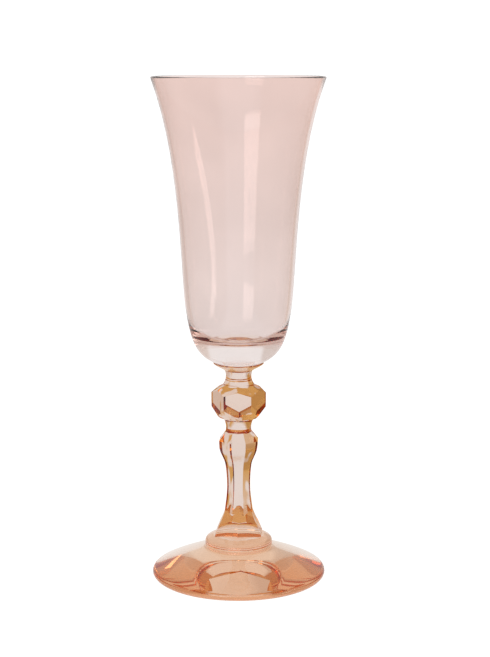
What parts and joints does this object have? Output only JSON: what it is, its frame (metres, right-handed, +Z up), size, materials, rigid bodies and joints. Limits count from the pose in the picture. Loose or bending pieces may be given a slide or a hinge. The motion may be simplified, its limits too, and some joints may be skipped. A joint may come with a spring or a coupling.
{
  "type": "champagne flute",
  "caption": "Stemmed flute with a flared rose-tinted glass bowl on an amber-tinted stem with a six-sided knop, an eight-sided shaft, a stepped plinth and a round foot.",
  "frame": {"origin": "centre of the flat underside of the foot", "axes": "+Z up the stem to the rim, -Y towards the front, where one flat of the shaft faces (turned 3 degrees), +X to the right"},
  "size_m": [0.0716, 0.0716, 0.205],
  "materials": {
    "bowl_glass": "clear rose tint, fire-polished",
    "collar_glass": "clear amber tint, fire-polished",
    "stem_glass": "clear amber tint, pressed facets, fire-polished",
    "foot_glass": "clear amber tint, fire-polished"
  },
  "bodies": {
    "root": {"bowl": "bowl_glass", "collar": "collar_glass", "stem": "stem_glass", "foot": "foot_glass"}
  },
  "joints": []
}
